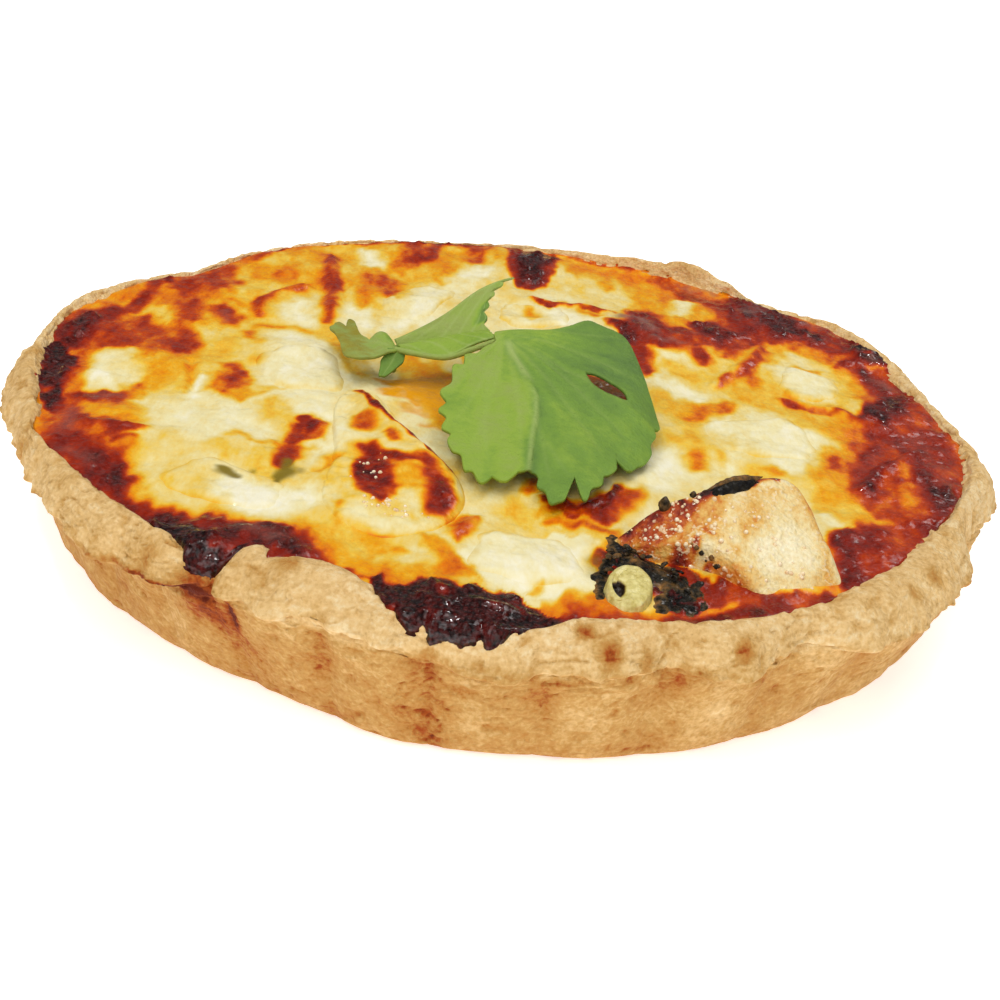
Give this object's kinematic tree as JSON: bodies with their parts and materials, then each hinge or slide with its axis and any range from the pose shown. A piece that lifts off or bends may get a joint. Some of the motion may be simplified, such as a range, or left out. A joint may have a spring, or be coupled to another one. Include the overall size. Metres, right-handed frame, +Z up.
{
  "type": "chicken quiche",
  "caption": "Small round quiche in a fluted shortcrust case, with a browned cheese and egg filling, chicken, charred herbs, spring onion and a coriander sprig on top.",
  "frame": {"origin": "middle of the flat base, on the surface the quiche rests on", "axes": "+Z up through the filling, -Y towards the side that faces the camera in the picture, +X to its right"},
  "size_m": [0.1176, 0.1192, 0.0273],
  "materials": {
    "pastry": "baked shortcrust, matt, sandy cream with tan and brown patches",
    "filling": "baked custard and browned cheese, softly glossy, cream to dark brown",
    "cheese": "half-melted pale cheese, softly glossy",
    "chicken": "roast chicken, moist, pale tan with a browned skin side",
    "herbs": "charred herbs, black-green, oily",
    "onion": "baked spring onion, pale yellow-green, moist",
    "coriander": "fresh coriander leaf, soft satin green"
  },
  "bodies": {
    "root": {"pastry_case": "pastry", "filling": "filling", "cheese_front": "cheese", "cheese_left_front": "cheese", "cheese_left_middle": "cheese", "cheese_right": "cheese", "cheese_right_back": "cheese", "cheese_back_left": "cheese", "cheese_back": "cheese", "chicken_right": "chicken", "chicken_left": "chicken", "charred_herbs": "herbs", "spring_onion_ring": "onion", "coriander_sprig": "coriander"}
  },
  "joints": []
}
